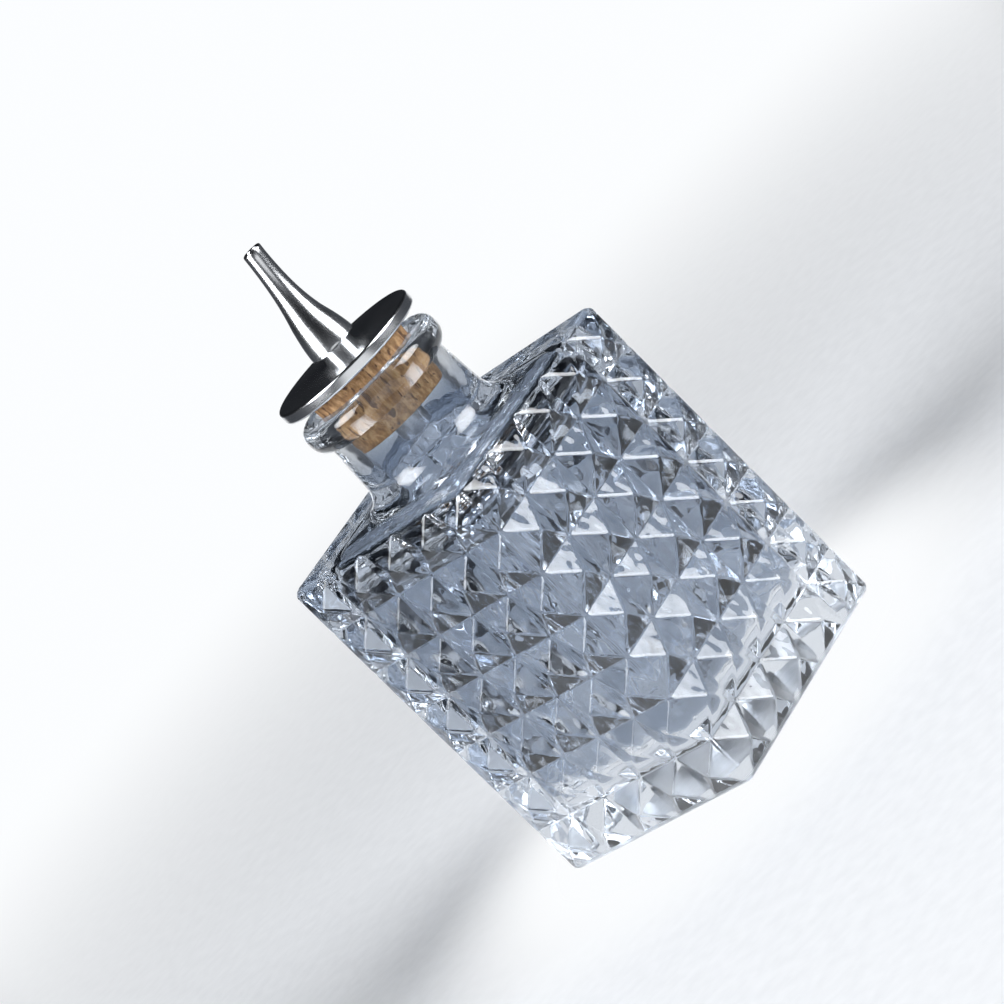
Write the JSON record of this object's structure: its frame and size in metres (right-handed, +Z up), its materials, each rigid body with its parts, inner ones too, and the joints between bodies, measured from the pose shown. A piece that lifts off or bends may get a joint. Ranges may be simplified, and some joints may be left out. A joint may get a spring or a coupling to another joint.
{
  "type": "bitters bottle",
  "caption": "Square pressed-glass bottle with pyramid-studded walls, a short round neck and a cork stopper that carries a polished steel dasher with a disc and a slim spout.",
  "frame": {"origin": "middle of the base, on the surface that the bottle stands on", "axes": "+Z up along the bottle, towards the spout; the four glass walls face along X and Y"},
  "size_m": [0.054, 0.054, 0.1169],
  "materials": {
    "glass": "clear, fire polished",
    "cork": "natural cork, unsealed",
    "steel": "mirror polished",
    "plug_plastic": "smooth"
  },
  "bodies": {
    "bottle": {"glass_bottle": "glass"},
    "cork": {"cork_stopper": "cork"},
    "dasher": {"dasher_disc": "steel", "stem_tube": "steel", "dasher_spout": "steel", "dash_plug": "plug_plastic"}
  },
  "joints": [
    {"name": "stopper_pull", "type": "slide", "parent": "bottle", "child": "cork", "axis": [0, 0, 1], "range_m": [0, 0.04]},
    {"name": "dasher_turn", "type": "hinge", "parent": "cork", "child": "dasher", "pos_m": [0, 0, 0.0916], "axis": [0, 0, 1], "continuous": true}
  ]
}
